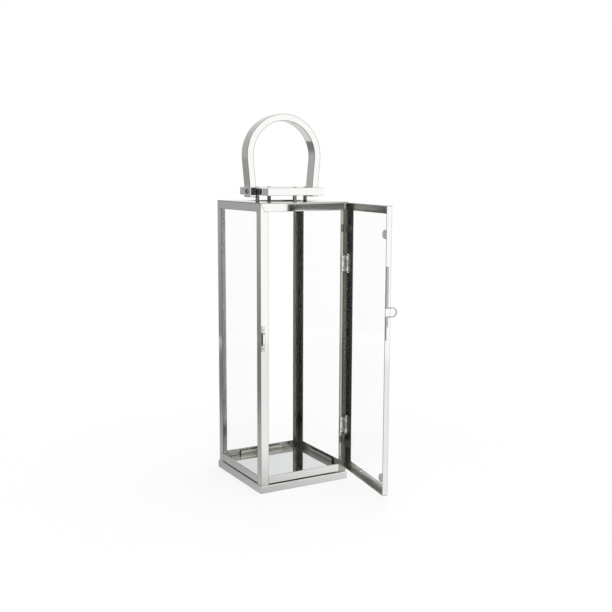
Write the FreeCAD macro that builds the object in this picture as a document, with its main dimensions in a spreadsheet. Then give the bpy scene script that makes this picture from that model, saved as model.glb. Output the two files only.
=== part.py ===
import FreeCAD, Part
import os
import re
import Sketcher
from FreeCAD import Placement, Rotation, Vector

# A tall square candle lantern of mirror-polished sheet steel, with a glazed door that stands open.
# Frame: origin at the centre of the base's underside, +Z up, the door on the -Y side, hinged at +X.

doc = FreeCAD.newDocument("candle_lantern")
sheet = doc.addObject("Spreadsheet::Sheet", "Sizes")

SIZES = (
    # Body, millimetres
    ("body_width", 150),
    ("body_height", 437),
    ("sheet_thickness", 1),
    ("angle_width", 12.7),
    ("top_rail_face", 12),
    ("mitre_run", 7.6),
    ("bottom_rail_face", 12),
    ("rail_gap", 1.5),
    ("base_overhang", 2.2),
    ("base_height", 11.5),
    ("base_lip", 12),
    ("base_edge_radius", 1.5),
    ("floor_thickness", 1),
    ("floor_play", 0.3),
    # Fixed panes and the strips that hold them
    ("pane_thickness", 2),
    ("pane_play", 0.3),
    ("strip_length", 77),
    ("strip_height", 7),
    ("strip_foot", 5),
    ("strip_end_radius", 3),
    # Roof, vent and cap
    ("roof_thickness", 1),
    ("vent_width", 67),
    ("cap_width", 97),
    ("cap_height", 11.8),
    ("cap_gap", 9.4),
    ("cap_edge_radius", 1.5),
    ("spacer_offset", 42),
    ("spacer_diameter", 6),
    ("rivet_head_diameter", 5.4),
    ("rivet_head_height", 1.2),
    ("hole_play", 0.2),
    # Carrying handle of flat tube
    ("handle_depth", 20),
    ("handle_thickness", 10),
    ("handle_wall", 1.2),
    ("handle_radius", 58.5),
    ("handle_lean", 5.5),
    ("handle_bend", 60),
    ("handle_straight", 15.1),
    ("handle_play", 1),
    ("handle_drop", 3),
    ("screw_diameter", 4),
    ("screw_head_diameter", 7.6),
    ("screw_head_height", 2.4),
    # Door frame and its pane
    ("door_width", 144),
    ("door_foot_gap", 8),
    ("door_head_gap", 1),
    ("door_face", 11.7),
    ("door_depth", 8),
    ("door_gap", 1.35),
    ("door_angle", 81),
    ("door_pane_thickness", 3),
    ("door_pane_play", 2.6),
    ("door_pane_hinge_play", 5.4),
    ("pad_diameter", 13),
    ("pad_stand", 0.8),
    ("pad_below_head", 40),
    ("pad_above_foot_hinge", 41),
    ("pad_above_foot_free", 24),
    # Butt hinges
    ("hinge_inset", 2.6),
    ("hinge_reach", 4.15),
    ("hinge_length", 25),
    ("hinge_upper_height", 343),
    ("hinge_lower_height", 88),
    ("hinge_leaf_width", 9),
    ("knuckle_radius", 2.2),
    ("knuckle_play", 0.15),
    ("pin_radius", 1.1),
    ("pin_play", 0.05),
    ("pin_head_radius", 1.9),
    ("pin_head_height", 0.8),
    ("notch_play", 1.2),
    ("leaf_rivet_radius", 1.2),
    ("leaf_rivet_head_radius", 1.9),
    ("leaf_rivet_head_height", 0.7),
    # Spring latch on the door and its keeper on the post
    ("pull_height", 287),
    ("latch_rise", 64.5),
    ("latch_drop", 39.5),
    ("latch_thickness", 1.2),
    ("latch_width", 3.6),
    ("latch_tip_width", 1.6),
    ("latch_tip_length", 19),
    ("latch_rim_inset", 0.3),
    ("pull_radius", 7),
    ("pull_reach", 9.6),
    ("pull_wire", 1.3),
    ("latch_rivet_rise", 29),
    ("latch_rivet_drop", 15),
    ("keeper_inset", 1.6),
    ("keeper_width", 4),
    ("keeper_length", 38),
    ("keeper_foot", 9),
    ("keeper_bow", 2.6),
    ("keeper_drop", 50.4),
)

for row, (alias, value) in enumerate(SIZES, start=1):
    sheet.set(f"A{row}", alias)
    sheet.set(f"B{row}", str(value))
    sheet.setAlias(f"B{row}", alias)
doc.recompute()


def cells(formula):
    """A formula of size names, with each name turned into a reference to its cell."""
    return re.sub(r"[a-z]+(?:_[a-z]+)+", r"Sizes.\g<0>", formula)


def size(formula):
    """The value of a formula of size names."""
    return float(sheet.evalExpression(cells(formula)))


def bind(thing, **formulas):
    """Tie properties of a document object to formulas of size names."""
    for name, formula in formulas.items():
        thing.setExpression(name, cells(formula))


# Levels and half widths that several pieces share, as formulas
HALF = "body_width / 2"
FRAME_TOP = "(body_height - roof_thickness)"
RAIL_FOOT = "(base_height + rail_gap)"
FLOOR_TOP = "(base_height + rail_gap + sheet_thickness + floor_thickness)"
CAP_FOOT = "(body_height + cap_gap)"
CAP_TOP = "(body_height + cap_gap + cap_height)"
CAP_MIDDLE = "(body_height + cap_gap + cap_height / 2)"
PANE_FACE = "(body_width / 2 - sheet_thickness - pane_thickness)"

# The door's own frame has its origin on the hinge axis, with the door shut along -X
DOOR_FOOT = "(base_height + door_foot_gap)"
DOOR_HEAD = "(body_height - door_head_gap)"
DOOR_HEIGHT = "(body_height - door_head_gap - base_height - door_foot_gap)"
DOOR_RIM = "(hinge_reach - door_gap)"
DOOR_FRONT = "(hinge_reach - door_gap - door_depth)"
DOOR_FREE = "(hinge_inset - door_width)"


def sketch(body, role, name, level="0"):
    """A sketch on one of the body's own origin planes, raised along the plane's normal."""
    plane = next(f for f in body.Origin.OriginFeatures if f.Role == role)
    drawn = body.newObject("Sketcher::SketchObject", name)
    drawn.AttachmentSupport = [(plane, "")]
    drawn.MapMode = "FlatFace"
    drawn.setExpression("AttachmentOffset.Base.z", cells(level))
    return drawn


def arc_between(start, end, centre_x, outward):
    """An arc between two points, with its centre at a given X."""
    chord = end - start
    middle = (start + end) / 2
    centre = Vector(centre_x, middle.y - (centre_x - middle.x) * chord.x / chord.y, 0)
    crown = centre + outward.normalize() * (start - centre).Length
    return Part.Arc(start, crown, end)


def outline(drawn, corners, arcs=None):
    """A closed outline of lines, and arcs where asked, through corners given as formulas that fix them.

    arcs maps the index of an edge to (formula of its centre's X, outward direction).
    """
    arcs = arcs or {}
    points = [Vector(size(x), size(y), 0) for x, y in corners]
    first = drawn.GeometryCount
    for edge, start in enumerate(points):
        end = points[(edge + 1) % len(points)]
        if edge in arcs:
            centre_x, outward = arcs[edge]
            drawn.addGeometry(arc_between(start, end, size(centre_x), Vector(*outward, 0)))
        else:
            drawn.addGeometry(Part.LineSegment(start, end))

    def fix(kind, geometry, position, formula):
        limit = Sketcher.Constraint(kind, -1, 1, geometry, position, size(formula))
        number = drawn.addConstraint(limit)
        drawn.setExpression(f"Constraints[{number}]", cells(formula))

    def place_of(edge, point):
        near = drawn.getPoint(first + edge, 1).distanceToPoint(point) < 1e-3
        return 1 if near else 2

    for after, (x, y) in enumerate(corners):
        corner = points[after]
        fix("DistanceX", first + after, place_of(after, corner), x)
        fix("DistanceY", first + after, place_of(after, corner), y)
        before = (after - 1) % len(corners)
        drawn.addConstraint(Sketcher.Constraint(
            "Coincident", first + before, place_of(before, corner), first + after, place_of(after, corner)))
    for edge, (centre_x, outward) in arcs.items():
        fix("DistanceX", first + edge, 3, centre_x)


def square(drawn, half):
    """A square about the sketch's origin."""
    low = f"-({half})"
    outline(drawn, ((low, low), (half, low), (half, half), (low, half)))


def circle(drawn, x, y, radius):
    """A circle whose centre and radius follow formulas."""
    centre = Vector(size(x), size(y), 0)
    number = drawn.addGeometry(Part.Circle(centre, Vector(0, 0, 1), size(radius)))
    for kind, formula in (("DistanceX", x), ("DistanceY", y)):
        limit = drawn.addConstraint(Sketcher.Constraint(kind, -1, 1, number, 3, size(formula)))
        drawn.setExpression(f"Constraints[{limit}]", cells(formula))
    limit = drawn.addConstraint(Sketcher.Constraint("Radius", number, size(radius)))
    drawn.setExpression(f"Constraints[{limit}]", cells(radius))


def pad(body, drawn, length, side="One side"):
    """Raise a sketch into a solid."""
    feature = body.newObject("PartDesign::Pad", drawn.Name + "_pad")
    feature.Profile = drawn
    feature.SideType = side
    bind(feature, Length=length)
    return feature


def pocket(body, drawn, length=None, back=False):
    """Cut a sketch out of the body, right through it both ways if no length is given."""
    feature = body.newObject("PartDesign::Pocket", drawn.Name + "_pocket")
    feature.Profile = drawn
    feature.Reversed = back
    if length is None:
        feature.SideType = "Symmetric"
        feature.Type = "ThroughAll"
    else:
        bind(feature, Length=length)
    return feature


def fillet(body, wanted, radius):
    """Round those edges of the body so far that a test picks."""
    doc.recompute()
    base = body.Tip
    names = [f"Edge{n}" for n, edge in enumerate(base.Shape.Edges, start=1) if wanted(edge)]
    feature = body.newObject("PartDesign::Fillet", body.Name + "_fillet")
    feature.Base = (base, names)
    bind(feature, Radius=radius)
    return feature


def new_body(label):
    """An empty body that carries the piece's name."""
    body = doc.addObject("PartDesign::Body", label)
    body.Label = label
    return body


pieces = {}


def keep(thing, placement=None):
    """List a finished piece under its name, at its place."""
    if placement is not None:
        thing.Placement = placement
    pieces[thing.Label] = thing
    return thing


def box(label, sides, corner=()):
    """A block by its sides and its lowest corner, all formulas."""
    made = doc.addObject("Part::Box", label)
    bind(made, Length=sides[0], Width=sides[1], Height=sides[2])
    for axis, formula in zip("xyz", corner):
        made.setExpression(f"Placement.Base.{axis}", cells(formula))
    return made


def cylinder(label, foot, radius, height):
    """An upright round bar by the centre of its foot, its radius and its height."""
    made = doc.addObject("Part::Cylinder", label)
    bind(made, Radius=radius, Height=height)
    for axis, formula in zip("xyz", foot):
        made.setExpression(f"Placement.Base.{axis}", cells(formula))
    return made


def fuse(label, shapes):
    """Several shapes welded into one."""
    made = doc.addObject("Part::MultiFuse", label)
    made.Shapes = shapes
    made.Refine = True
    return made


def cut(label, base, tools):
    """A shape with other shapes taken out of it."""
    made = doc.addObject("Part::Cut", label)
    made.Base = base
    made.Tool = tools[0] if len(tools) == 1 else fuse(label + "_tools", tools)
    made.Refine = True
    return made


def turned(label, profile):
    """A round piece about its own Z axis, from a half profile of (radius, height) corners."""
    body = new_body(label)
    drawn = sketch(body, "XZ_Plane", label + "_profile")
    outline(drawn, profile)
    feature = body.newObject("PartDesign::Revolution", label + "_turned")
    feature.Profile = drawn
    feature.ReferenceAxis = (drawn, ["V_Axis"])
    feature.Angle = 360
    return body


def group(label, members):
    """Like pieces that share one name, each a solid of its own."""
    made = doc.addObject("Part::Compound", label)
    made.Links = members
    return keep(made)


def upright(edge):
    """Whether an edge runs along Z."""
    return edge.Curve.TypeId == "Part::GeomLine" and abs(edge.Curve.Direction.z) > 0.999


def level_at(height):
    """A test for edges that lie level at a height."""
    return lambda edge: all(abs(v.Z - height) < 1e-4 for v in edge.Vertexes)


def tray_edges(height):
    """A test for the upright corners of a tray and the rim of its flat side."""
    return lambda edge: upright(edge) or level_at(height)(edge)


def turn(degrees, about=Vector(0, 0, 1)):
    """A placement that only turns."""
    return Placement(Vector(), Rotation(about, degrees))


def move(x, y, z):
    """A placement that only moves, by formulas."""
    return Placement(Vector(size(x), size(y), size(z)), Rotation())


SIDES = ("front", "right", "back", "left")


def on_side(side):
    """A turn from the front to one of the four sides."""
    return turn(360 * SIDES.index(side) / len(SIDES))



# Base: a folded pan with a flat underside, open on top inside a turned-in lip that carries the posts.
base = new_body("base_pan")
base_half = "body_width / 2 + base_overhang"
drawn = sketch(base, "XY_Plane", "base_outline")
square(drawn, base_half)
pad(base, drawn, "base_height")
fillet(base, tray_edges(size("base_height")), "base_edge_radius")
drawn = sketch(base, "XY_Plane", "base_hollow", "sheet_thickness")
square(drawn, base_half + " - sheet_thickness")
pocket(base, drawn, "base_height - 2 * sheet_thickness", back=True)
drawn = sketch(base, "XY_Plane", "base_mouth", "base_height - sheet_thickness")
square(drawn, base_half + " - base_lip")
pocket(base, drawn, "sheet_thickness", back=True)
keep(base)

# Floor: the polished plate that the candle stands on, carried by the feet of the bottom rails.
floor = new_body("floor_plate")
drawn = sketch(floor, "XY_Plane", "floor_outline", RAIL_FOOT + " + sheet_thickness")
square(drawn, HALF + " - sheet_thickness - floor_play")
pad(floor, drawn, "floor_thickness")
keep(floor)


def corner_post(label):
    """A steel angle with its outer edge on its own Z axis, cut at the head to meet the top rails."""
    body = new_body(label)
    height = FRAME_TOP + " - base_height"
    drawn = sketch(body, "XY_Plane", label + "_angle")
    outline(drawn, (
        ("0", "0"), ("angle_width", "0"), ("angle_width", "sheet_thickness"),
        ("sheet_thickness", "sheet_thickness"), ("sheet_thickness", "angle_width"), ("0", "angle_width")))
    pad(body, drawn, height)
    for role in ("XZ_Plane", "YZ_Plane"):
        drawn = sketch(body, role, f"{label}_head_{role[:2]}")
        seam_foot = height + " - top_rail_face"
        outline(drawn, (
            ("0", height), ("angle_width", height), ("angle_width", seam_foot), ("mitre_run", seam_foot)))
        pocket(body, drawn)
    return body


# Corner posts: four alike, each turned to its own corner.
for name, (across, deep, degrees) in {
        "front_left": ("-", "-", 0), "front_right": ("", "-", 90),
        "back_right": ("", "", 180), "back_left": ("-", "", 270)}.items():
    place = move(f"{across}body_width / 2", f"{deep}body_width / 2", "base_height")
    keep(corner_post("post_" + name), placement=place * turn(degrees))


def top_rail(label):
    """A steel angle under the roof's edge, seamed to the posts and mitred to its neighbours."""
    body = new_body(label)
    face = f"-{HALF}"
    foot = FRAME_TOP + " - top_rail_face"
    inner = f"{face} + sheet_thickness"
    reach = f"{face} + angle_width"
    drawn = sketch(body, "YZ_Plane", label + "_angle")
    outline(drawn, (
        (face, FRAME_TOP), (face, foot), (inner, foot), (inner, FRAME_TOP + " - sheet_thickness"),
        (reach, FRAME_TOP + " - sheet_thickness"), (reach, FRAME_TOP)))
    pad(body, drawn, "body_width", side="Symmetric")
    seams = sketch(body, "XZ_Plane", label + "_seams")
    mitres = sketch(body, "XY_Plane", label + "_mitres")
    for sign in ("-", ""):
        end = f"{sign}{HALF}"
        inward = "+" if sign else "-"
        outline(seams, ((end, FRAME_TOP), (end, foot), (f"{end} {inward} mitre_run", foot)))
        outline(mitres, ((end, face), (end, reach), (f"{end} {inward} angle_width", reach)))
    pocket(body, seams)
    pocket(body, mitres)
    return body


def bottom_rail(label):
    """A steel angle between two posts, a little above the base, whose foot carries the floor."""
    body = new_body(label)
    face = f"-{HALF}"
    inner = f"{face} + sheet_thickness"
    reach = f"{face} + angle_width"
    drawn = sketch(body, "YZ_Plane", label + "_angle")
    outline(drawn, (
        (face, RAIL_FOOT), (reach, RAIL_FOOT), (reach, RAIL_FOOT + " + sheet_thickness"),
        (inner, RAIL_FOOT + " + sheet_thickness"), (inner, RAIL_FOOT + " + bottom_rail_face"),
        (face, RAIL_FOOT + " + bottom_rail_face")))
    pad(body, drawn, "body_width - 2 * angle_width", side="Symmetric")
    return body


# Rails: one of each kind on every side.
for side in SIDES:
    keep(top_rail("top_rail_" + side), placement=on_side(side))
    keep(bottom_rail("bottom_rail_" + side), placement=on_side(side))

# Fixed panes: the side ones run from front to back, the back one fits between them.
pane_height = f"{FRAME_TOP} - sheet_thickness - pane_play - {FLOOR_TOP}"
pane_depth = "body_width - 2 * sheet_thickness - 2 * pane_play"
for side, near in (("left", f"-{HALF} + sheet_thickness"), ("right", PANE_FACE)):
    keep(box("pane_" + side, ("pane_thickness", pane_depth, pane_height),
             (near, f"-({pane_depth}) / 2", FLOOR_TOP)))
back_width = f"{pane_depth} - 2 * pane_thickness"
keep(box("pane_back", (back_width, "pane_thickness", pane_height),
         (f"-({back_width}) / 2", PANE_FACE, FLOOR_TOP)))


def glazing_strip(label):
    """A short angle that presses a pane against the frame, with rounded ends to its upright leg."""
    body = new_body(label)
    drawn = sketch(body, "YZ_Plane", label + "_angle")
    outline(drawn, (
        ("0", "0"), ("strip_foot", "0"), ("strip_foot", "sheet_thickness"),
        ("sheet_thickness", "sheet_thickness"), ("sheet_thickness", "strip_height"), ("0", "strip_height")))
    pad(body, drawn, "strip_length", side="Symmetric")
    height = size("strip_height")
    half = size("strip_length") / 2

    def end_corner(edge):
        return all(abs(v.Z - height) < 1e-4 and abs(abs(v.X) - half) < 1e-4 for v in edge.Vertexes) \
            and abs(edge.Length - size("sheet_thickness")) < 1e-4

    fillet(body, end_corner, "strip_end_radius")
    return body


# Glazing strips: one on the floor and one under the top rail, inside each fixed pane.
for side in ("right", "back", "left"):
    seat = on_side(side) * move("0", f"-{PANE_FACE}", FLOOR_TOP)
    keep(glazing_strip("glazing_strip_bottom_" + side), placement=seat)
    hung = on_side(side) * move("0", f"-{PANE_FACE}", FRAME_TOP + " - sheet_thickness")
    hung = hung * turn(180, Vector(0, 1, 0))
    keep(glazing_strip("glazing_strip_top_" + side), placement=hung)

# Rivet places of the cap: the middle of each side of the vent.
RIVET_PLACES = (
    ("spacer_offset", "0"), ("0", "spacer_offset"), ("-spacer_offset", "0"), ("0", "-spacer_offset"))

# Roof: a flat plate on the top rails, with the square vent.
roof = new_body("roof_plate")
drawn = sketch(roof, "XY_Plane", "roof_outline", FRAME_TOP)
square(drawn, HALF)
pad(roof, drawn, "roof_thickness")
drawn = sketch(roof, "XY_Plane", "roof_vent", FRAME_TOP)
square(drawn, "vent_width / 2")
pocket(roof, drawn)
keep(roof)

# Vent cap: an inverted tray held off the roof on four spacers, with holes for the handle's screws.
cap = new_body("vent_cap")
drawn = sketch(cap, "XY_Plane", "cap_outline", CAP_FOOT)
square(drawn, "cap_width / 2")
pad(cap, drawn, "cap_height")
fillet(cap, tray_edges(size(CAP_TOP)), "cap_edge_radius")
drawn = sketch(cap, "XY_Plane", "cap_hollow", CAP_FOOT)
square(drawn, "cap_width / 2 - sheet_thickness")
pocket(cap, drawn, "cap_height - sheet_thickness", back=True)
drawn = sketch(cap, "YZ_Plane", "cap_screw_holes")
circle(drawn, "0", CAP_MIDDLE, "screw_diameter / 2 + hole_play")
pocket(cap, drawn)
keep(cap)

# Spacers: short round rods from the roof to the underside of the cap.
spacers = new_body("cap_spacers")
drawn = sketch(spacers, "XY_Plane", "spacer_rings", "body_height")
for across, deep in RIVET_PLACES:
    circle(drawn, across, deep, "spacer_diameter / 2")
pad(spacers, drawn, "cap_gap + cap_height - sheet_thickness")
keep(spacers)

# Cap rivets: a low round head on the cap over each spacer.
brim = "rivet_head_diameter / 2"
rivets = []
for number, (across, deep) in enumerate(RIVET_PLACES, start=1):
    rivet = turned(f"cap_rivet_{number}", (
        ("0", "0"), (brim, "0"), (brim + " * 0.6", "rivet_head_height"), ("0", "rivet_head_height")))
    rivet.Placement = move(across, deep, CAP_TOP)
    rivets.append(rivet)
group("cap_rivets", rivets)

# Handle: flat tube bent to a horseshoe, whose legs stand outside the cap's side walls.
# The bow is turned about its centre, and each leg carries on from its end: straight, bent, straight.
LEG = "(cap_width / 2 + handle_play + handle_thickness / 2)"
LEG_FOOT = "(body_height + cap_gap - handle_drop)"
BEND_FOOT = f"({LEG_FOOT} + handle_straight)"
bend_out = f"({LEG} + handle_bend * (1 - cos(handle_lean)))"
lean_run = f"((handle_radius * cos(handle_lean) - {bend_out}) / sin(handle_lean))"
bow_centre = (f"({BEND_FOOT} + (handle_bend + handle_radius) * sin(handle_lean)"
              f" + {lean_run} * cos(handle_lean))")
handle = new_body("handle")
section = sketch(handle, "YZ_Plane", "handle_section")
section.setExpression("AttachmentOffset.Base.y", cells(bow_centre))
for inset in ("0", "handle_wall"):
    half_depth = f"(handle_depth / 2 - {inset})"
    low = f"handle_radius - handle_thickness / 2 + {inset}"
    high = f"handle_radius + handle_thickness / 2 - {inset}"
    outline(section, (
        (f"-{half_depth}", low), (half_depth, low), (half_depth, high), (f"-{half_depth}", high)))


def end_face(feature, near):
    """The name of the flat face of a feature that lies nearest to a point."""
    doc.recompute()
    faces = feature.Shape.Faces
    flat = [n for n, face in enumerate(faces) if face.Surface.TypeId == "Part::GeomPlane"]
    best = min(flat, key=lambda n: (faces[n].CenterOfMass - near).Length)
    return (feature, [f"Face{best + 1}"])


bow = handle.newObject("PartDesign::Revolution", "handle_bow")
bow.Profile = section
bow.ReferenceAxis = (section, ["H_Axis"])
bow.Midplane = True
bind(bow, Angle="180 + 2 * handle_lean")
tube = bow
for sign in (-1, 1):
    bow_end = Vector(sign * size("handle_radius * cos(handle_lean)"), 0,
                     size(f"{bow_centre} - handle_radius * sin(handle_lean)"))
    run = handle.newObject("PartDesign::Pad", "handle_lean_run")
    run.Profile = end_face(tube, bow_end)
    bind(run, Length=lean_run)
    hub = handle.newObject("PartDesign::Line", "handle_bend_axis")
    hub.Placement = turn(-90, Vector(1, 0, 0))
    hub.setExpression("Placement.Base.x", cells(f"{sign} * ({LEG} + handle_bend)"))
    hub.setExpression("Placement.Base.z", cells(BEND_FOOT))
    bend = handle.newObject("PartDesign::Revolution", "handle_bend")
    bend.Profile = end_face(run, Vector(sign * size(bend_out), 0,
                                        size(f"{BEND_FOOT} + handle_bend * sin(handle_lean)")))
    bend.ReferenceAxis = (hub, [""])
    bend.Reversed = sign > 0
    bind(bend, Angle="handle_lean")
    leg = handle.newObject("PartDesign::Pad", "handle_leg")
    leg.Profile = end_face(bend, Vector(sign * size(LEG), 0, size(BEND_FOOT)))
    bind(leg, Length="handle_straight")
    tube = leg
drawn = sketch(handle, "YZ_Plane", "handle_screw_holes")
circle(drawn, "0", CAP_MIDDLE, "screw_diameter / 2 + hole_play")
pocket(handle, drawn)
keep(handle)

# Handle screws: one through each leg into the cap's wall.
shank = "screw_diameter / 2"
brim = "screw_head_diameter / 2"
screw_grip = "(sheet_thickness + handle_play + handle_thickness)"
screws = []
for side, degrees in (("right", 90), ("left", -90)):
    screw = turned("handle_screw_" + side, (
        ("0", "0"), (shank, "0"), (shank, screw_grip), (brim, screw_grip),
        (brim, screw_grip + " + screw_head_height / 2"),
        (brim + " * 0.6", screw_grip + " + screw_head_height"), ("0", screw_grip + " + screw_head_height")))
    sign = "" if side == "right" else "-"
    inside = f"{sign}(cap_width / 2 - sheet_thickness)"
    screw.Placement = move(inside, "0", CAP_MIDDLE) * turn(degrees, Vector(0, 1, 0))
    screws.append(screw)
group("handle_screws", screws)

# Door: stands open about the hinge axis, in front of the right-hand front post.
AXIS = move(f"{HALF} - hinge_inset", f"-{HALF} - hinge_reach", "0")
OPEN = AXIS * turn(size("door_angle"))


def door_member(label, length, reach):
    """One side of the door's frame: a steel angle along X at the foot of the frame, mitred at both ends.

    Its face lies in the door's front and its flange runs back along the door's edge.
    """
    body = new_body(label)
    foot = f"-{reach} / 2"
    drawn = sketch(body, "YZ_Plane", label + "_angle")
    outline(drawn, (
        ("0", foot), ("door_depth", foot), ("door_depth", f"{foot} + sheet_thickness"),
        ("sheet_thickness", f"{foot} + sheet_thickness"), ("sheet_thickness", f"{foot} + door_face"),
        ("0", f"{foot} + door_face")))
    pad(body, drawn, length, side="Symmetric")
    mitres = sketch(body, "XZ_Plane", label + "_mitres")
    for sign in ("-", ""):
        end = f"{sign}{length} / 2"
        inward = "+" if sign else "-"
        outline(mitres, (
            (end, foot), (end, f"{foot} + door_face"),
            (f"{end} {inward} door_face", f"{foot} + door_face")))
    pocket(body, mitres)
    return body


DOOR_CENTRE = (f"{DOOR_FREE} + door_width / 2", DOOR_FRONT, f"{DOOR_FOOT} + {DOOR_HEIGHT} / 2")
door_seat = OPEN * move(*DOOR_CENTRE)
across_door = ("door_width", DOOR_HEIGHT)
along_door = (DOOR_HEIGHT, "door_width")
HINGES = {"upper": "hinge_upper_height", "lower": "hinge_lower_height"}
for name, (length, reach), degrees in (
        ("door_rail_bottom", across_door, 0), ("door_stile_free", along_door, 90),
        ("door_rail_top", across_door, 180), ("door_stile_hinge", along_door, 270)):
    member = door_member(name, length, reach)
    if name == "door_stile_hinge":
        # Notches in the hinged edge, in which the knuckles turn.
        drawn = sketch(member, "XY_Plane", "hinge_notches")
        notch_half = "(hinge_length / 2 + pin_head_height + notch_play)"
        floor_line = "door_depth + door_gap - hinge_reach - knuckle_radius - notch_play / 2"
        for height in HINGES.values():
            along = f"({height} - ({DOOR_CENTRE[2]}))"
            outline(drawn, (
                (f"{along} - {notch_half}", floor_line), (f"{along} + {notch_half}", floor_line),
                (f"{along} + {notch_half}", "door_depth"), (f"{along} - {notch_half}", "door_depth")))
        pocket(member, drawn)
    keep(member, placement=door_seat * turn(degrees, Vector(0, 1, 0)))

# Door pane: lies behind the faces of the frame and is held there by four round pads.
pane_back = f"({DOOR_FRONT} + sheet_thickness + door_pane_thickness)"
door_pane = box("door_pane", (
    "door_width - door_pane_play - door_pane_hinge_play", "door_pane_thickness",
    f"{DOOR_HEIGHT} - 2 * door_pane_play"))
keep(door_pane, placement=OPEN * move(
    f"{DOOR_FREE} + door_pane_play", f"{DOOR_FRONT} + sheet_thickness", f"{DOOR_FOOT} + door_pane_play"))

# Pads: rubber buttons on the pane, a little proud of the rim, that cushion the door on the posts.
pad_height = f"{DOOR_RIM} + pad_stand - {pane_back}"
pad_hinge = "hinge_inset - door_pane_hinge_play - pad_diameter / 2"
pad_free = f"{DOOR_FREE} + door_pane_play + pad_diameter / 2"
pad_places = (
    (pad_hinge, f"{DOOR_HEAD} - pad_below_head"), (pad_hinge, f"{DOOR_FOOT} + pad_above_foot_hinge"),
    (pad_free, f"{DOOR_HEAD} - pad_below_head"), (pad_free, f"{DOOR_FOOT} + pad_above_foot_free"))
pads = []
for number, (across, height) in enumerate(pad_places, start=1):
    button = turned(f"door_pad_{number}", (
        ("0", "0"), ("pad_diameter / 2", "0"), ("pad_diameter / 2", f"({pad_height}) - pad_stand"),
        ("pad_diameter / 2 - pad_stand", pad_height), ("0", pad_height)))
    button.Placement = OPEN * move(across, pane_back, height) * turn(-90, Vector(1, 0, 0))
    pads.append(button)
group("door_pads", pads)

# Hinges: the post's leaf carries the outer knuckles, the door's leaf the middle one.
third = "hinge_length / 3"
bore = "pin_radius + pin_play"
pins = []
leaf_rivets = []
for name, height in HINGES.items():
    foot = f"{height} - hinge_length / 2"
    plate = box(f"post_plate_{name}",
                ("hinge_leaf_width - knuckle_radius + sheet_thickness", "sheet_thickness", "hinge_length"),
                ("-hinge_leaf_width", "hinge_reach - sheet_thickness", "0"))
    solids = [plate]
    for part, start in (("low", "0"), ("high", f"2 * {third} + knuckle_play")):
        reach = f"{third} - knuckle_play"
        solids.append(box(f"post_web_{name}_{part}", ("sheet_thickness", "hinge_reach", reach),
                          ("-knuckle_radius", "0", start)))
        solids.append(cylinder(f"post_knuckle_{name}_{part}", ("0", "0", start), "knuckle_radius", reach))
    tools = [cylinder(f"post_bore_{name}", ("0", "0", "0"), bore, "hinge_length")]
    rivet_across = "-(hinge_leaf_width + knuckle_radius) / 2"
    for part, share in (("low", 0.25), ("high", 0.75)):
        rivet = turned(f"hinge_rivet_{name}_{part}", (
            ("0", "0"), ("leaf_rivet_head_radius", "0"),
            ("leaf_rivet_head_radius * 0.6", "leaf_rivet_head_height"), ("0", "leaf_rivet_head_height")))
        rivet.Placement = AXIS * move(
            rivet_across, "hinge_reach - sheet_thickness", f"{foot} + hinge_length * {share}")
        rivet.Placement = rivet.Placement * turn(90, Vector(1, 0, 0))
        leaf_rivets.append(rivet)
    leaf = cut(f"hinge_leaf_post_{name}", fuse(f"post_leaf_blank_{name}", solids), tools)
    keep(leaf, placement=AXIS * move("0", "0", foot))

    clear = "-(knuckle_radius + notch_play / 2)"
    plate_foot = f"{DOOR_FRONT} + sheet_thickness"
    leaf_inner = "hinge_inset - 2 * sheet_thickness"
    blank = fuse(f"door_leaf_blank_{name}", [
        box(f"door_plate_{name}", ("sheet_thickness", f"{clear} - ({plate_foot})", "hinge_length"),
            (leaf_inner, plate_foot, "0")),
        box(f"door_tongue_{name}", ("sheet_thickness", f"-({plate_foot})", f"{third} - 2 * knuckle_play"),
            (leaf_inner, plate_foot, f"{third} + knuckle_play")),
        cylinder(f"door_knuckle_{name}", ("0", "0", f"{third} + knuckle_play"), "knuckle_radius",
                 f"{third} - 2 * knuckle_play")])
    leaf = cut(f"hinge_leaf_door_{name}", blank,
               [cylinder(f"door_bore_{name}", ("0", "0", "0"), bore, "hinge_length")])
    keep(leaf, placement=OPEN * move("0", "0", foot))

    pin = turned(f"hinge_pin_{name}", (
        ("0", "-pin_head_height - knuckle_play"), ("pin_head_radius", "-pin_head_height - knuckle_play"),
        ("pin_head_radius", "-knuckle_play"), ("pin_radius", "-knuckle_play"),
        ("pin_radius", "hinge_length + knuckle_play"), ("pin_head_radius", "hinge_length + knuckle_play"),
        ("pin_head_radius", "hinge_length + knuckle_play + pin_head_height"),
        ("0", "hinge_length + knuckle_play + pin_head_height")))
    pin.Placement = AXIS * move("0", "0", foot)
    pins.append(pin)
group("hinge_pins", pins)
group("hinge_rivets", leaf_rivets)

# Latch: one spring strip riveted to the door's free edge, bent out into a finger pull half way down.
latch = new_body("latch_strip")
rim_side = f"{DOOR_RIM} - latch_rim_inset"
front_side = f"{rim_side} - latch_width"
tip_side = f"{rim_side} - latch_tip_width"
latch_head = "pull_height + latch_rise"
latch_foot = "pull_height - latch_drop"
pull_head = "pull_height + pull_radius"
pull_foot = "pull_height - pull_radius"
pull_turn = f"{DOOR_FRONT} - pull_reach + pull_radius"
drawn = sketch(latch, "YZ_Plane", "latch_outline", f"{DOOR_FREE} - latch_thickness")
outline(drawn, (
    (rim_side, latch_head), (front_side, latch_head), (front_side, pull_head), (pull_turn, pull_head),
    (pull_turn, pull_foot), (front_side, pull_foot), (front_side, f"{latch_foot} + latch_tip_length"),
    (tip_side, f"{latch_foot} + latch_tip_length"), (tip_side, latch_foot), (rim_side, latch_foot),
    (rim_side, f"{pull_foot} + pull_wire"), (pull_turn, f"{pull_foot} + pull_wire"),
    (pull_turn, f"{pull_head} - pull_wire"), (rim_side, f"{pull_head} - pull_wire")),
    arcs={3: (pull_turn, (-1, 0)), 11: (pull_turn, (-1, 0))})
pad(latch, drawn, "latch_thickness")
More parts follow.
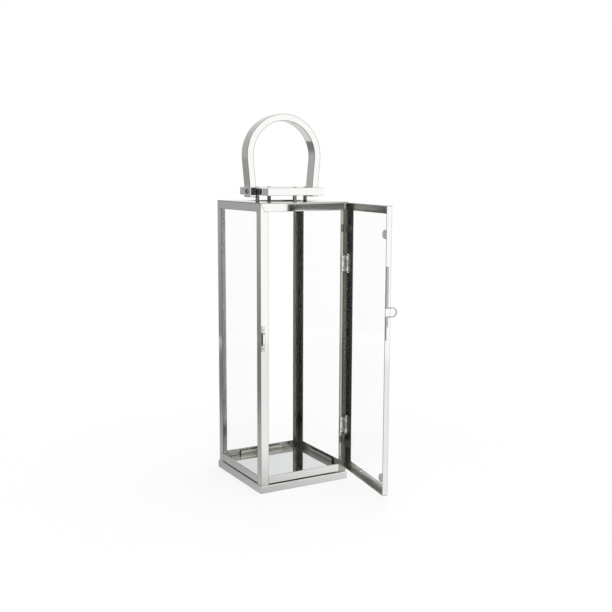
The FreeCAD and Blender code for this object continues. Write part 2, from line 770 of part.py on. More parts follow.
keep(latch, placement=OPEN)

# Latch rivets: two low heads on the strip.
latch_rivets = []
latch_middle = f"({rim_side} + {front_side}) / 2"
for part, offset in (("upper", "latch_rivet_rise"), ("lower", "-latch_rivet_drop")):
    rivet = turned("latch_rivet_" + part, (
        ("0", "0"), ("leaf_rivet_radius", "0"), ("leaf_rivet_radius * 0.6", "leaf_rivet_head_height"),
        ("0", "leaf_rivet_head_height")))
    rivet.Placement = OPEN * move(f"{DOOR_FREE} - latch_thickness", latch_middle, f"pull_height + {offset}")
    rivet.Placement = rivet.Placement * turn(-90, Vector(0, 1, 0))
    latch_rivets.append(rivet)
group("latch_rivets", latch_rivets)

# Keeper: a strap bowed off the front of the left-hand front post, over which the latch tip springs.
keeper = new_body("keeper_strap")
back = f"-{HALF}"
flat = f"{back} - sheet_thickness"
inner_bow = f"{back} - keeper_bow"
outer_bow = f"{flat} - keeper_bow"
lead = "sheet_thickness * tan(22.5)"
head = "(pull_height - keeper_drop + keeper_length / 2)"
foot = "(pull_height - keeper_drop - keeper_length / 2)"
drawn = sketch(keeper, "YZ_Plane", "keeper_side", f"-{HALF} + keeper_inset")
outline(drawn, (
    (back, head), (flat, head), (flat, f"{head} - keeper_foot"),
    (outer_bow, f"{head} - keeper_foot - keeper_bow"), (outer_bow, f"{foot} + keeper_foot + keeper_bow"),
    (flat, f"{foot} + keeper_foot"), (flat, foot), (back, foot),
    (back, f"{foot} + keeper_foot + {lead}"), (inner_bow, f"{foot} + keeper_foot + keeper_bow + {lead}"),
    (inner_bow, f"{head} - keeper_foot - keeper_bow - {lead}"), (back, f"{head} - keeper_foot - {lead}")))
pad(keeper, drawn, "keeper_width")
keep(keeper)

# Keeper rivets: a low head on each of the strap's two feet.
keeper_middle = f"-{HALF} + keeper_inset + keeper_width / 2"
keeper_rivets = []
for part, level in (("upper", f"{head} - keeper_foot / 2"), ("lower", f"{foot} + keeper_foot / 2")):
    rivet = turned("keeper_rivet_" + part, (
        ("0", "0"), ("leaf_rivet_radius", "0"), ("leaf_rivet_radius * 0.6", "leaf_rivet_head_height"),
        ("0", "leaf_rivet_head_height")))
    rivet.Placement = move(keeper_middle, flat, level) * turn(90, Vector(1, 0, 0))
    keeper_rivets.append(rivet)
group("keeper_rivets", keeper_rivets)

doc.recompute()
for thing in doc.Objects:
    if {"Invalid", "Error"} & set(thing.State):
        raise RuntimeError(f"{thing.Label} did not build: {thing.State}")
os.makedirs("parts", exist_ok=True)
for label, thing in pieces.items():
    if thing.Shape.isNull() or not thing.Shape.isValid():
        raise RuntimeError(f"{label} has no valid shape")
    thing.Shape.exportStep(f"parts/{label}.step")
    print(label, len(thing.Shape.Solids), round(thing.Shape.Volume, 1))
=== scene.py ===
import bpy
import math
from mathutils import Matrix, Vector


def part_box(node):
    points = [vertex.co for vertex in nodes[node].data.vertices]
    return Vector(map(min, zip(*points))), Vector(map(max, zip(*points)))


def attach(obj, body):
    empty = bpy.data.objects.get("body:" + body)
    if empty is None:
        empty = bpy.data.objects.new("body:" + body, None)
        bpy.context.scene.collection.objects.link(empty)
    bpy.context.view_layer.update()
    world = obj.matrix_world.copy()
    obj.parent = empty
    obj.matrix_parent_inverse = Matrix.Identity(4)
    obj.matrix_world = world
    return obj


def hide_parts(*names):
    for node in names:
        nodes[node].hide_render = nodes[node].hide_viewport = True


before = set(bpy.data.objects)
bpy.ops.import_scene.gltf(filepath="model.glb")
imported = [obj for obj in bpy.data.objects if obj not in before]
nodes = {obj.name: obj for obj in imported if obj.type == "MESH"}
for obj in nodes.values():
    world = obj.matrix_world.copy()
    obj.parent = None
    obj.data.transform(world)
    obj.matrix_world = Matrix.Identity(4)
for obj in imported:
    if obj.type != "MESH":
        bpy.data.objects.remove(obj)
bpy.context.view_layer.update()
bpy.ops.object.select_all(action="DESELECT")

# Frame: four posts of steel angle, with rails at head and foot, welded and then polished to a mirror.
# The outside is bright and barely rippled; inside the angle the wheel could not reach, so the steel is
# rougher there, and painted shade makes it darker. The seams between posts and rails are ground flush.


class Flow:
    """A socket of a shader that takes part in plain arithmetic."""

    def __init__(self, finish, socket):
        self.finish = finish
        self.socket = socket

    def reckon(self, operation, first, second):
        return self.finish.node("ShaderNodeMath", {"operation": operation}, {0: first, 1: second})

    def __add__(self, other):
        return self.reckon("ADD", self, other)

    def __radd__(self, other):
        return self.reckon("ADD", other, self)

    def __sub__(self, other):
        return self.reckon("SUBTRACT", self, other)

    def __rsub__(self, other):
        return self.reckon("SUBTRACT", other, self)

    def __mul__(self, other):
        return self.reckon("MULTIPLY", self, other)

    def __rmul__(self, other):
        return self.reckon("MULTIPLY", other, self)

    def __pow__(self, other):
        return self.reckon("POWER", self, other)

    def __gt__(self, other):
        return self.reckon("GREATER_THAN", self, other)

    def __lt__(self, other):
        return self.reckon("LESS_THAN", self, other)


class Finish:
    """A tree of shader nodes that is filled by one method."""

    def __init__(self, owner):
        owner.use_nodes = True
        self.owner = owner
        self.tree = owner.node_tree

    def node(self, kind, settings=None, sockets=None, out=0):
        made = self.tree.nodes.new(kind)
        for name, value in (settings or {}).items():
            setattr(made, name, value)
        self.fill(made, sockets or {})
        return Flow(self, made.outputs[out])

    def fill(self, made, sockets):
        for name, value in sockets.items():
            if isinstance(value, Flow):
                self.tree.links.new(value.socket, made.inputs[name])
            else:
                made.inputs[name].default_value = value

    def shade(self, **sockets):
        named = {name.replace("_", " "): value for name, value in sockets.items()}
        self.fill(self.tree.nodes["Principled BSDF"], named)

    def show(self, shader, output="Material Output"):
        self.fill(self.tree.nodes[output], {"Surface": shader})


def opaque(colour, share=1.0):
    """A colour, dimmed to a share of itself, as the four numbers that a socket takes."""
    return (*[share * channel for channel in colour], 1.0)


def blend(finish, mask, none, full):
    """A colour between two, by a mask from 0 to 1."""
    return finish.node("ShaderNodeMix", {"data_type": "RGBA"}, {0: mask, 6: none, 7: full}, out=2)


def wear(finish, place, scale, detail):
    """Soft uneven noise over a surface, from 0 to 1."""
    return finish.node("ShaderNodeTexNoise", sockets={"Vector": place, "Scale": scale, "Detail": detail})


def measure(finish, vector, axis):
    """How far a place or a direction reaches along X, Y or Z."""
    return finish.node("ShaderNodeSeparateXYZ", sockets={0: vector}, out=axis)


def along(finish, vector, way):
    """How far a place or a direction reaches along another."""
    return finish.node("ShaderNodeVectorMath", {"operation": "DOT_PRODUCT"}, {0: vector, 1: way}, "Value")


def graded(finish, value, start, end, low, high, curve="SMOOTHSTEP"):
    """A tone that runs from low to high as a value runs from start to end, and is level beyond them."""
    return finish.node("ShaderNodeMapRange", {"interpolation_type": curve}, {
        "Value": value, "From Min": start, "From Max": end, "To Min": low, "To Max": high})


RIPPLE_SCALE = 9.0
RIPPLE_HEIGHT = 0.0012
BUMP_SHARE = 0.25
SMEAR_SCALE = 55.0
SMEAR_DETAIL = 3.0
SMEAR_SHARE = 0.5
SMEAR_DIM = 0.93
SMEAR_ROUGH = 0.035
STROKE_SCALE = (900.0, 900.0, 14.0)
STROKE_ROUGH = 0.03
INNER_STARTS = 0.0006
INNER_ROUGH = 0.09
FACES_FRONT = -0.5
EDGE_ROUND = 0.001
EDGE_SAMPLES = 16
EDGE_STARTS = 0.995
EDGE_ENDS = 0.88
EDGE_SHADE_SHARE = 0.9
CORNER_REACH = 0.010
CORNER_SAMPLES = 32
SHADE_STEEL = (0.049, 0.051, 0.047, 1.0)


def polished_steel(name, bright, inside_shade, middle=None, across=(1.0, 1.0, 1.0), smooth=0.045, side_shade=1.0,
                   front=None, lean=0.0, edge_round=EDGE_ROUND):
    """Mirror-polished sheet steel that is rougher where it faces the middle of what it encloses,
    and darker there with painted shade.

    Its front can take a painted shade of its own, painted shade darkens its edges and corners,
    and its finish can lean back."""
    finish = Finish(bpy.data.materials.new(name))
    place = finish.node("ShaderNodeTexCoord", out="Object")
    ripple = wear(finish, place, RIPPLE_SCALE, detail=1.0)
    if lean:
        ripple = ripple - measure(finish, place, "Z") * (lean / (BUMP_SHARE * RIPPLE_HEIGHT))
    smears = wear(finish, place, SMEAR_SCALE, SMEAR_DETAIL)
    strokes = finish.node("ShaderNodeMapping", sockets={"Vector": place, "Scale": STROKE_SCALE})
    strokes = wear(finish, strokes, scale=1.0, detail=2.0)
    colour = blend(finish, smears * SMEAR_SHARE, opaque(bright), opaque(bright, SMEAR_DIM))
    rough = smooth + smears * SMEAR_ROUGH + strokes * STROKE_ROUGH
    # Painted shade: faces turned to the middle take the darker inside colour, darker still where they face
    # along Y.
    if middle is not None:
        facing = finish.node("ShaderNodeTexCoord", out="Normal")
        inward = finish.node("ShaderNodeVectorMath", {"operation": "SUBTRACT"}, {0: middle, 1: place})
        inward = finish.node("ShaderNodeVectorMath", {"operation": "MULTIPLY"}, {0: inward, 1: across})
        inner = along(finish, facing, inward) > INNER_STARTS
        turned = measure(finish, facing, "Y")
        shaded_inside = blend(finish, turned * turned, opaque(inside_shade), opaque(inside_shade, side_shade))
        colour = blend(finish, inner, colour, shaded_inside)
        rough = rough + inner * INNER_ROUGH
        if front is not None:
            colour = blend(finish, turned < FACES_FRONT, colour, opaque(front))
    # Painted shade: a dark line along every edge from the bevel's rounding, which also marks the seams, and
    # darker corners from ambient occlusion.
    edge = finish.node("ShaderNodeBevel", {"samples": EDGE_SAMPLES}, {"Radius": edge_round})
    flat = finish.node("ShaderNodeNewGeometry", out="Normal")
    edge_shade = graded(finish, along(finish, edge, flat), EDGE_STARTS, EDGE_ENDS, 0.0, EDGE_SHADE_SHARE, "LINEAR")
    colour = blend(finish, edge_shade, colour, SHADE_STEEL)
    open_share = finish.node(
        "ShaderNodeAmbientOcclusion", {"samples": CORNER_SAMPLES, "only_local": True},
        {"Distance": CORNER_REACH}, "AO")
    colour = blend(finish, open_share, SHADE_STEEL, colour)
    bump = finish.node("ShaderNodeBump", sockets={
        "Strength": BUMP_SHARE, "Distance": RIPPLE_HEIGHT, "Height": ripple, "Normal": edge})
    finish.shade(Base_Color=colour, Metallic=1.0, Roughness=rough, Normal=bump)
    return finish.owner


def coat(material, *names):
    """Give CAD nodes a material in place of the one they came with."""
    for name in names:
        mesh = nodes[name].data
        mesh.materials.clear()
        mesh.materials.append(material)


BRIGHT_STEEL = (0.90, 0.915, 0.885)
# Painted shade on faces turned inward: grey in the lower rails and posts, near black in the head rails,
# under the roof and cap; the posts are darker still where their inside faces along Y.
INNER_SHADE_STEEL = (0.355, 0.366, 0.325)
DEEP_SHADE_STEEL = (0.09, 0.088, 0.084)
# Painted shade on the front of the hinge post, darker than the other posts' fronts.
HINGE_POST_FRONT_SHADE = (0.44, 0.435, 0.385)
POST_SIDE_SHADE = 0.4
RAIL_LEAN = 0.02
CENTRE_LINE = {"middle": (0.0, 0.0, 0.0), "across": (1.0, 1.0, 0.0)}
rail_steel = polished_steel("rail_polished_steel", BRIGHT_STEEL, INNER_SHADE_STEEL, **CENTRE_LINE)
head_steel = polished_steel("head_rail_polished_steel", BRIGHT_STEEL, DEEP_SHADE_STEEL, **CENTRE_LINE)
leaning_steel = polished_steel(
    "front_rail_polished_steel", BRIGHT_STEEL, DEEP_SHADE_STEEL, **CENTRE_LINE, lean=RAIL_LEAN)
post_steel = polished_steel("post_polished_steel", BRIGHT_STEEL, INNER_SHADE_STEEL, **CENTRE_LINE, side_shade=POST_SIDE_SHADE)
hinge_post_steel = polished_steel(
    "hinge_post_polished_steel", BRIGHT_STEEL, INNER_SHADE_STEEL, **CENTRE_LINE, side_shade=POST_SIDE_SHADE,
    front=HINGE_POST_FRONT_SHADE)
coat(leaning_steel, "top_rail_front")
coat(head_steel, "top_rail_right", "top_rail_back", "top_rail_left")
coat(rail_steel, "bottom_rail_front", "bottom_rail_right", "bottom_rail_back", "bottom_rail_left")
coat(rail_steel, "post_back_left")
coat(post_steel, "post_front_left", "post_back_right")
coat(hinge_post_steel, "post_front_right")

# Base and floor: a pan folded from sheet steel, a little wider than the frame, and the polished steel
# plate that lies inside. Both are bright all over; the plate is the best mirror of the lantern.
BASE_STEEL = (0.84, 0.855, 0.832)
FLOOR_STEEL = (0.78, 0.79, 0.79)
base_steel = polished_steel("base_polished_steel", BASE_STEEL, INNER_SHADE_STEEL, smooth=0.07)
floor_steel = polished_steel("floor_polished_steel", FLOOR_STEEL, INNER_SHADE_STEEL, smooth=0.02)
coat(base_steel, "base_pan")
coat(floor_steel, "floor_plate")

# Panes: clear float glass, cut to size for three sides and for the door, and held in the steel angle.
# It is clean, so it shows only by a little gloss, which grows towards a glancing view.
GLASS_GLOSS = 0.006
GLANCING_GLOSS = 0.25
GLANCING_POWER = 5
glass = Finish(bpy.data.materials.new("clear_float_glass"))
glancing = glass.node("ShaderNodeLayerWeight", sockets={"Blend": 0.5}, out="Facing")
glass.shade(
    Base_Color=(1.0, 1.0, 1.0, 1.0), Metallic=1.0, Roughness=0.0,
    Alpha=GLASS_GLOSS + GLANCING_GLOSS * glancing ** GLANCING_POWER)
coat(glass.owner, "pane_left", "pane_right", "pane_back", "door_pane")

# Glazing strips: short angles of bright steel, folded from thin sheet, on three sides of the lantern.
# They press the panes outward, at the floor and under the top rails.
STRIP_STEEL = (0.84, 0.83, 0.78)
# Painted shade on the strips' inner faces.
STRIP_INSIDE_SHADE = (0.60, 0.585, 0.52)
strip_steel = polished_steel("strip_polished_steel", STRIP_STEEL, STRIP_INSIDE_SHADE, **CENTRE_LINE, side_shade=0.9)
for side in ("right", "back", "left"):
    coat(strip_steel, "glazing_strip_bottom_" + side, "glazing_strip_top_" + side)

# Roof and cap: a flat polished steel plate with a square vent, and over it a shallow inverted tray of
# the same steel, riveted on four dark spacers. The plate is painted matt black round the vent, as the
# shade under the cap, and the undersides of plate and cap are painted dark with shade.
VENT_SHADE = (0.006, 0.006, 0.006, 1.0)
VENT_SHADE_REACH = 0.042
VENT_SHADE_FADE = 0.003
VENT_SHADE_RAGGED = 0.002
SPACER_STEEL = (0.20, 0.20, 0.195)
roof_steel = polished_steel("roof_polished_steel", BRIGHT_STEEL, DEEP_SHADE_STEEL, middle=(0.0, 0.0, 0.0))
roof = Finish(roof_steel)
roof_place = roof.node("ShaderNodeTexCoord", out="Object")
spread = roof.node("ShaderNodeVectorMath", {"operation": "ABSOLUTE"}, {0: roof_place})
from_vent = roof.node("ShaderNodeMath", {"operation": "MAXIMUM"}, {
    0: measure(roof, spread, "X"), 1: measure(roof, spread, "Y")})
from_vent = from_vent + wear(roof, roof_place, SMEAR_SCALE, SMEAR_DETAIL) * VENT_SHADE_RAGGED
black = graded(roof, from_vent, VENT_SHADE_REACH - VENT_SHADE_FADE, VENT_SHADE_REACH, 1.0, 0.0)
bare = Flow(roof, roof.tree.nodes["Principled BSDF"].outputs[0])
matt = roof.node("ShaderNodeBsdfDiffuse", sockets={"Color": VENT_SHADE})
roof.show(roof.node("ShaderNodeMixShader", sockets={0: black, 1: bare, 2: matt}))
cap_low, cap_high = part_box("vent_cap")
cap_steel = polished_steel("cap_polished_steel", BRIGHT_STEEL, DEEP_SHADE_STEEL, middle=(0.0, 0.0, cap_low.z))
spacer_steel = polished_steel("spacer_steel", SPACER_STEEL, DEEP_SHADE_STEEL, smooth=0.25)
coat(roof_steel, "roof_plate")
coat(cap_steel, "vent_cap")
coat(spacer_steel, "cap_spacers")

# Cap rivets: low domed steel heads on the cap, one over each spacer, closed by a hand tool so that
# each is a plain round button.
CAD_SEAM = 0.00001
SPUN_SEAM = 0.000005
SMOOTH_ANGLE = math.radians(40)
RIVET_WALL_SHARE = 0.2


def middles(node):
    """The middle of each like solid that one CAD node holds, from the lowest up."""
    bpy.ops.object.select_all(action="DESELECT")
    bpy.ops.object.add(type="MESH")
    spare = bpy.context.object
    spare.data = nodes[node].data.copy()
    bpy.ops.object.mode_set(mode="EDIT")
    bpy.ops.mesh.select_all(action="SELECT")
    bpy.ops.mesh.remove_doubles(threshold=CAD_SEAM)
    bpy.ops.mesh.separate(type="LOOSE")
    bpy.ops.object.mode_set(mode="OBJECT")
    boxes = [[Vector(corner) for corner in solid.bound_box] for solid in bpy.context.selected_objects]
    bpy.ops.object.delete()
    places = [sum(box, Vector()) / len(box) for box in boxes]
    return sorted(places, key=lambda place: (place.z, place.x, place.y))


def dome(radius, wall, rise, steps=7):
    """Half the outline of a low dome on a short wall, from the axis below to the axis above."""
    arc = [math.pi / 2 * step / steps for step in range(steps)]
    bow = [(radius * math.cos(turn), wall + (rise - wall) * math.sin(turn)) for turn in arc]
    return [(0.0, 0.0), (radius, 0.0), *bow, (0.0, rise)]


def spun(outline, steps=32):
    """A round piece: half its outline, drawn by extruding one vertex, and spun about the upright axis."""
    bpy.ops.object.select_all(action="DESELECT")
    bpy.ops.mesh.primitive_plane_add(size=0.001, location=(0.0, 0.0, 0.0))
    piece = bpy.context.object
    bpy.ops.object.mode_set(mode="EDIT")
    bpy.ops.mesh.select_all(action="SELECT")
    bpy.ops.mesh.merge(type="CENTER")
    bpy.ops.transform.translate(value=(outline[0][0], 0.0, outline[0][1]))
    for before, after in zip(outline, outline[1:]):
        step = (after[0] - before[0], 0.0, after[1] - before[1])
        bpy.ops.mesh.extrude_vertices_move(TRANSFORM_OT_translate={"value": step})
    bpy.ops.mesh.select_all(action="SELECT")
    bpy.ops.mesh.spin(steps=steps, angle=2 * math.pi, center=(0.0, 0.0, 0.0), axis=(0.0, 0.0, 1.0))
    bpy.ops.mesh.select_all(action="SELECT")
    bpy.ops.mesh.remove_doubles(threshold=SPUN_SEAM)
    bpy.ops.mesh.normals_make_consistent(inside=False)
    bpy.ops.object.mode_set(mode="OBJECT")
    bpy.ops.object.shade_smooth_by_angle(angle=SMOOTH_ANGLE)
    return piece


def set_on(piece, name, feet, axes, material):
    """Copies of one piece, each stood on its foot along its axis, and joined under one name."""
    copies = []
    for foot, axis in zip(feet, axes):
        copy = piece.copy()
        copy.data = piece.data.copy()
        bpy.context.collection.objects.link(copy)
        copy.matrix_world = Matrix.Translation(foot) @ axis.to_track_quat("Z", "Y").to_matrix().to_4x4()
        copies.append(copy)
    bpy.data.objects.remove(piece)
    bpy.ops.object.select_all(action="DESELECT")
    for copy in copies:
        copy.select_set(True)
    bpy.context.view_layer.objects.active = copies[0]
    bpy.ops.object.transform_apply(location=True, rotation=True, scale=True)
    bpy.ops.object.join()
    joined = bpy.context.object
    joined.name = name
    joined.data.materials.append(material)
    return joined


def heads(node, name, radius, rise, axis, material, body):
    """Domed rivet heads in place of the plain ones of a CAD node."""
    feet = [place - axis * rise / 2 for place in middles(node)]
    button = spun(dome(radius, RIVET_WALL_SHARE * rise, rise))
    piece = set_on(button, name, feet, [axis] * len(feet), material)
    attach(piece, body)
    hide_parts(node)


UP = Vector((0.0, 0.0, 1.0))
FIXING_STEEL = (0.55, 0.55, 0.55)
CAP_RIVET = {"radius": 0.0027, "rise": 0.0012}
fixing_steel = polished_steel("fixing_steel", FIXING_STEEL, INNER_SHADE_STEEL, smooth=0.16)
heads("cap_rivets", "cap_rivet_heads", **CAP_RIVET, axis=UP, material=fixing_steel, body="lantern_body")

# Handle: flat rectangular steel tube, bent to a horseshoe and polished like the frame.
# Its two legs stand against the left and right walls of the cap, and one screw holds each.
HANDLE_EDGE = 0.0018
handle_steel = polished_steel(
    "handle_polished_steel", BRIGHT_STEEL, INNER_SHADE_STEEL, smooth=0.05, edge_round=HANDLE_EDGE)
coat(handle_steel, "handle")

# Handle blocks: black plastic in the foot of each leg, which fills it out against the wall of the cap.
# They end level with the top of the cap and leave the leg's outer wall to the screw.
BLOCK_PROUD = 0.0002
BLOCK_WIDTH = 0.0086
BLOCK_FROM_CAP = 0.001
BLOCK_ROUND = 0.0004
BLOCK_DARK = (0.008, 0.008, 0.008)
BLOCK_LIGHT = (0.018, 0.018, 0.018)
BLOCK_GRAIN = 1400.0
BLOCK_ROUGH = 0.35
BLOCK_UNEVEN = 0.2
handle_low, handle_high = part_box("handle")
block_middle = cap_high.x + BLOCK_FROM_CAP + BLOCK_WIDTH / 2
block_depth = handle_high.y - handle_low.y + 2 * BLOCK_PROUD
block_size = (BLOCK_WIDTH, block_depth, cap_high.z - cap_low.z)
bpy.ops.object.select_all(action="DESELECT")
bpy.ops.mesh.primitive_cube_add(
    size=1.0, location=(block_middle, 0.0, (cap_low.z + cap_high.z) / 2), scale=block_size)
blocks = bpy.context.object
blocks.name = "handle_blocks"
bpy.ops.object.transform_apply(location=True, rotation=True, scale=True)
bpy.ops.object.mode_set(mode="EDIT")
bpy.ops.mesh.select_all(action="SELECT")
bpy.ops.mesh.bevel(offset=BLOCK_ROUND, segments=2)
bpy.ops.mesh.select_all(action="SELECT")
bpy.ops.mesh.duplicate()
bpy.ops.transform.translate(value=(-2 * block_middle, 0.0, 0.0))
bpy.ops.object.mode_set(mode="OBJECT")
bpy.ops.object.shade_smooth_by_angle(angle=SMOOTH_ANGLE)
plastic = Finish(bpy.data.materials.new("black_plastic"))
block_grain = wear(plastic, plastic.node("ShaderNodeTexCoord", out="Object"), BLOCK_GRAIN, detail=2.0)
plastic.shade(
    Base_Color=blend(plastic, block_grain, opaque(BLOCK_DARK), opaque(BLOCK_LIGHT)),
    Roughness=BLOCK_ROUGH + block_grain * BLOCK_UNEVEN)
blocks.data.materials.append(plastic.owner)
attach(blocks, "lantern_body")

# Handle screws: one through each leg into the wall of the cap, with a pan head and a cross recess.
# They are darker than the sheet, of plain zinc-plated steel.
SCREW_SHANK = 0.002
SCREW_GRIP = 0.012
SCREW_HEAD = 0.0038
SCREW_WALL = 0.0008
SCREW_RISE = 0.0024
SCREW_LENGTH = SCREW_GRIP + SCREW_RISE
RECESS_REACH = 0.0046
RECESS_WIDTH = 0.0010
RECESS_DEPTH = 0.0012
screw_outline = [(0.0, 0.0), (SCREW_SHANK, 0.0), (SCREW_SHANK, SCREW_GRIP)]
for across, rise in dome(SCREW_HEAD, SCREW_WALL, SCREW_RISE)[1:]:
    screw_outline.append((across, SCREW_GRIP + rise))
screw = spun(screw_outline)
screw_top = (0.0, 0.0, SCREW_LENGTH)
bpy.ops.object.select_all(action="DESELECT")
bpy.ops.mesh.primitive_cube_add(
    size=1.0, location=screw_top, scale=(RECESS_REACH, RECESS_WIDTH, RECESS_DEPTH))
cross = bpy.context.object
bpy.ops.object.transform_apply(location=True, rotation=True, scale=True)
bpy.ops.object.mode_set(mode="EDIT")
bpy.ops.mesh.select_all(action="SELECT")
bpy.ops.mesh.duplicate()
bpy.ops.transform.rotate(value=math.pi / 2, orient_axis="Z", center_override=screw_top)
bpy.ops.object.mode_set(mode="OBJECT")
bpy.ops.object.select_all(action="DESELECT")
screw.select_set(True)
bpy.context.view_layer.objects.active = screw
recess = screw.modifiers.new("recess", "BOOLEAN")
recess.operation = "DIFFERENCE"
recess.object = cross
recess.use_self = True
bpy.ops.object.modifier_apply(modifier="recess")
bpy.data.objects.remove(cross)
RIGHT = Vector((1.0, 0.0, 0.0))
screw_middles = middles("handle_screws")
screw_axes = [RIGHT if place.x > 0 else -RIGHT for place in screw_middles]
screw_feet = [place - axis * SCREW_LENGTH / 2 for place, axis in zip(screw_middles, screw_axes)]
handle_screws = set_on(screw, "handle_cross_screws", screw_feet, screw_axes, spacer_steel)
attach(handle_screws, "lantern_body")
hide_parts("handle_screws")

# Door: a frame of the same steel angle, mitred and welded at the corners, with a pane in its tray.
# It is polished outside and rougher inside the tray, where painted shade makes it dark, except for
# the bottom rail, whose inside is painted light.
DOOR_INSIDE_SHADE = (0.187, 0.194, 0.172)
DOOR_FOOT_INSIDE_LIT = (0.74, 0.76, 0.70)
DOOR_SIDE_SHADE = 0.6
pane_low, pane_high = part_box("door_pane")
door_middle = (pane_low + pane_high) / 2
door_steel = polished_steel(
    "door_polished_steel", BRIGHT_STEEL, DOOR_INSIDE_SHADE, middle=door_middle, side_shade=DOOR_SIDE_SHADE)
door_foot_steel = polished_steel(
    "door_foot_polished_steel", BRIGHT_STEEL, DOOR_FOOT_INSIDE_LIT, middle=door_middle, side_shade=DOOR_SIDE_SHADE)
coat(door_steel, "door_rail_top", "door_stile_free", "door_stile_hinge")
coat(door_foot_steel, "door_rail_bottom")

# Bumpers: four domed buttons of grey translucent rubber, moulded and stuck to the door.
# They meet the posts when the door shuts and keep the steel apart.
BUMPER_RADIUS = 0.0065
BUMPER_WALL = 0.0026
BUMPER_RISE = 0.0048
BUMPER_DARK = (0.05, 0.05, 0.048)
BUMPER_LIGHT = (0.09, 0.09, 0.085)
BUMPER_CLOUD = 0.42
BUMPER_GRAIN = 900.0
BUMPER_ROUGH = 0.42
BUMPER_UNEVEN = 0.15
BUMPER_PITS = {"Strength": 0.3, "Distance": 0.0003}
DOOR_OPEN = math.radians(81)
DOOR_INWARD = Vector((-math.sin(DOOR_OPEN), math.cos(DOOR_OPEN), 0.0))
rubber = Finish(bpy.data.materials.new("bumper_rubber"))
rubber_grain = wear(rubber, rubber.node("ShaderNodeTexCoord", out="Object"), BUMPER_GRAIN, detail=3.0)
rubber.shade(
    Base_Color=blend(rubber, rubber_grain, opaque(BUMPER_DARK), opaque(BUMPER_LIGHT)),
    Alpha=BUMPER_CLOUD,
    Roughness=BUMPER_ROUGH + rubber_grain * BUMPER_UNEVEN,
    Normal=rubber.node("ShaderNodeBump", sockets={**BUMPER_PITS, "Height": rubber_grain}))
bumper_feet = [place - DOOR_INWARD * BUMPER_RISE / 2 for place in middles("door_pads")]
bumper = spun(dome(BUMPER_RADIUS, BUMPER_WALL, BUMPER_RISE), steps=48)
bumpers = set_on(bumper, "door_bumpers", bumper_feet, [DOOR_INWARD] * len(bumper_feet), rubber.owner)
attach(bumpers, "door")
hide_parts("door_pads")

# Hinges, latch and keeper: small stampings of the same steel, held by domed rivets.
# The hinge leaves turn on plain pins, the latch is a sprung strip on the door's free edge, and the
# keeper is a bowed strap on the front left-hand post.
HINGE_STEEL = (0.78, 0.77, 0.72)
LATCH_STEEL = (0.50, 0.50, 0.47)
KEEPER_STEEL = (0.90, 0.89, 0.82)
# Painted shadow on the keeper's faces turned to the left, for the gap under its bow.
KEEPER_SHADE_SIDE = {"middle": (-0.5, 0.0, 0.0), "across": (1.0, 1.0, 0.0)}
FRONT = Vector((0.0, -1.0, 0.0))
DOOR_OUTWARD_EDGE = Vector((-math.cos(DOOR_OPEN), -math.sin(DOOR_OPEN), 0.0))
HINGE_RIVET = {"radius": 0.0019, "rise": 0.0007}
SMALL_RIVET = {"radius": 0.0012, "rise": 0.0007}
hinge_steel = polished_steel("hinge_polished_steel", HINGE_STEEL, INNER_SHADE_STEEL, smooth=0.10)
latch_steel = polished_steel("latch_spring_steel", LATCH_STEEL, INNER_SHADE_STEEL, smooth=0.10)
keeper_steel = polished_steel("keeper_polished_steel", KEEPER_STEEL, DEEP_SHADE_STEEL, **KEEPER_SHADE_SIDE)
coat(hinge_steel, "hinge_leaf_post_upper", "hinge_leaf_post_lower", "hinge_pins")
coat(latch_steel, "hinge_leaf_door_upper", "hinge_leaf_door_lower", "latch_strip")
coat(keeper_steel, "keeper_strap")
heads("hinge_rivets", "hinge_rivet_heads", **HINGE_RIVET, axis=FRONT, material=fixing_steel,
      body="lantern_body")
heads("latch_rivets", "latch_rivet_heads", **SMALL_RIVET, axis=DOOR_OUTWARD_EDGE, material=fixing_steel,
      body="door")
heads("keeper_rivets", "keeper_rivet_heads", **SMALL_RIVET, axis=FRONT, material=fixing_steel,
      body="lantern_body")

# Table: a round pale sheet that keeps a faint shadow near the lantern and runs out into white.
# In the polished steel's reflections it glows instead, with painted tones: darker, with a bright part
# in front and another at the far side.
TABLE_RADIUS = 1.3
FOOT_REACH = 0.15
SHADOW_REACH = 0.55
SHADOW_SHARE = 0.3
PAPER = (0.9, 0.9, 0.9, 1.0)
WHITE = (1.0, 1.0, 1.0, 1.0)
LIGHT_FROM = Vector((0.75, -0.66, 0.1)).normalized()
DIM_REACH = 0.7
DIM_NEAR = 0.40
DIM_FAR = 0.20
LIT_STARTS = -0.15
LIT_ENDS = 0.25
LIT_TONE = 0.9
FAR_SIDE = Vector((0.5, 0.86, 0.0)).normalized()
FAR_STARTS = 0.55
FAR_ENDS = 0.8
FAR_TONE = 0.5


def looked_at(finish):
    """1 for a ray that comes from the camera or through glass, and 0 for any other."""
    straight = finish.node("ShaderNodeLightPath", out="Is Camera Ray")
    through = finish.node("ShaderNodeLightPath", out="Is Transmission Ray")
    return finish.node("ShaderNodeMath", {"operation": "MINIMUM"}, {0: straight + through, 1: 1.0})


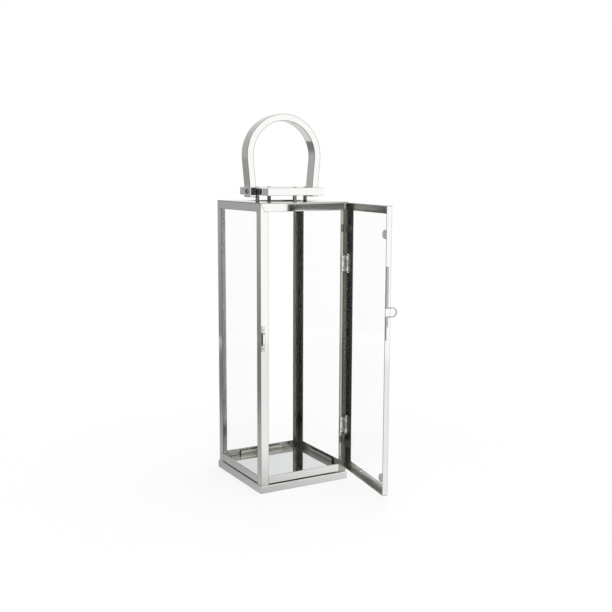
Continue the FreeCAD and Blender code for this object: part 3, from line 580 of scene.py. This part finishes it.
bpy.ops.mesh.primitive_circle_add(vertices=128, radius=TABLE_RADIUS, fill_type="NGON", location=(0, 0, 0))
table = bpy.context.object
table.name = "table"
sheet = Finish(bpy.data.materials.new("pale_table"))
table.data.materials.append(sheet.owner)
seen = looked_at(sheet)
mirrored = sheet.node("ShaderNodeLightPath", out="Is Glossy Ray") * (1.0 - seen)
spot = sheet.node("ShaderNodeTexCoord", out="Object")
away = sheet.node("ShaderNodeVectorMath", {"operation": "LENGTH"}, {0: spot}, "Value")
near = graded(sheet, away, FOOT_REACH, SHADOW_REACH, SHADOW_SHARE, 0.0)
dim = graded(sheet, away, FOOT_REACH, DIM_REACH, DIM_NEAR, DIM_FAR)
glow = graded(sheet, along(sheet, spot, LIGHT_FROM), LIT_STARTS, LIT_ENDS, dim, LIT_TONE)
far_glow = graded(sheet, along(sheet, spot, FAR_SIDE), FAR_STARTS, FAR_ENDS, 0.0, FAR_TONE)
paper = sheet.node("ShaderNodeBsdfDiffuse", sockets={"Color": PAPER})
white = sheet.node("ShaderNodeEmission", sockets={"Color": WHITE, "Strength": 1.0})
shown = sheet.node("ShaderNodeMixShader", sockets={0: near, 1: white, 2: paper})
lit = sheet.node("ShaderNodeMixShader", sockets={0: seen, 1: paper, 2: shown})
dimmed = sheet.node("ShaderNodeEmission", sockets={"Color": WHITE, "Strength": glow + far_glow})
sheet.show(sheet.node("ShaderNodeMixShader", sockets={0: mirrored, 1: lit, 2: dimmed}))

# Studio: white where the camera or the glass looks through, and for the polished steel a bright
# front and a greyer side, back and top, as from a white tent that is open behind.
GROUND_LEVEL = -0.2
GROUND_TONE = 0.20
BACK_TONE = 0.42
BACK_ENDS = -0.95
FRONT_STARTS = 0.2
FRONT_TONE = 1.06
TOP_STARTS = 0.55
TOP_ENDS = 0.95
TOP_SHARE = 0.5
world = bpy.data.worlds.new("studio")
bpy.context.scene.world = world
tent = Finish(world)
way = tent.node("ShaderNodeTexCoord", out="Generated")
level = measure(tent, way, "Z")
back = graded(tent, level, GROUND_LEVEL, 0.0, GROUND_TONE, BACK_TONE, "LINEAR")
tone = graded(tent, along(tent, way, LIGHT_FROM), BACK_ENDS, FRONT_STARTS, back, FRONT_TONE)
overhead = graded(tent, level, TOP_STARTS, TOP_ENDS, 1.0, TOP_SHARE)
clear = looked_at(tent)
strength = clear + (1.0 - clear) * tone * overhead
backdrop = tent.node("ShaderNodeBackground", sockets={"Color": WHITE, "Strength": strength})
tent.show(backdrop, "World Output")


def softbox(name, place, target, width, watts, mirrored=True):
    """A square studio lamp that faces a point, and that the steel may mirror."""
    bpy.ops.object.light_add(type="AREA", location=place)
    lamp = bpy.context.object
    lamp.name = name
    lamp.data.size = width
    lamp.data.energy = watts
    lamp.visible_glossy = mirrored
    lamp.rotation_euler = (Vector(target) - Vector(place)).to_track_quat("-Z", "Y").to_euler()


softbox("key_lamp", place=(-0.9, -1.4, 1.6), target=(0.0, 0.0, 0.25), width=0.9, watts=14.0)
softbox("top_lamp", place=(0.3, 0.2, 1.9), target=(0.0, 0.0, 0.2), width=1.2, watts=10.0, mirrored=False)

# Camera: stands to the front left, a little above the lantern's middle, as in the photograph.
# Its place, its turn and its focal length were fitted to the corners of the lantern.
AIM = Vector((0.0, 0.0, 0.25))
CAMERA_LEFT = math.radians(29.77)
CAMERA_ABOVE = math.radians(8.26)
CAMERA_ROLL = math.radians(0.22)
CAMERA_BACK = Vector((0.03865, 0.02161, 1.47254))
FOCAL_PIXELS = 929.95
PICTURE_PIXELS = 612
SENSOR_WIDTH = 36.0
bpy.ops.object.camera_add()
camera = bpy.context.object
camera.data.sensor_width = SENSOR_WIDTH
camera.data.lens = SENSOR_WIDTH * FOCAL_PIXELS / PICTURE_PIXELS
stand = Matrix.Rotation(-CAMERA_LEFT, 4, "Z") @ Matrix.Rotation(math.pi / 2 - CAMERA_ABOVE, 4, "X")
stand = stand @ Matrix.Rotation(CAMERA_ROLL, 4, "Z") @ Matrix.Translation(CAMERA_BACK)
camera.matrix_world = Matrix.Translation(AIM) @ stand
bpy.context.scene.camera = camera
bpy.context.scene.view_settings.view_transform = "Standard"
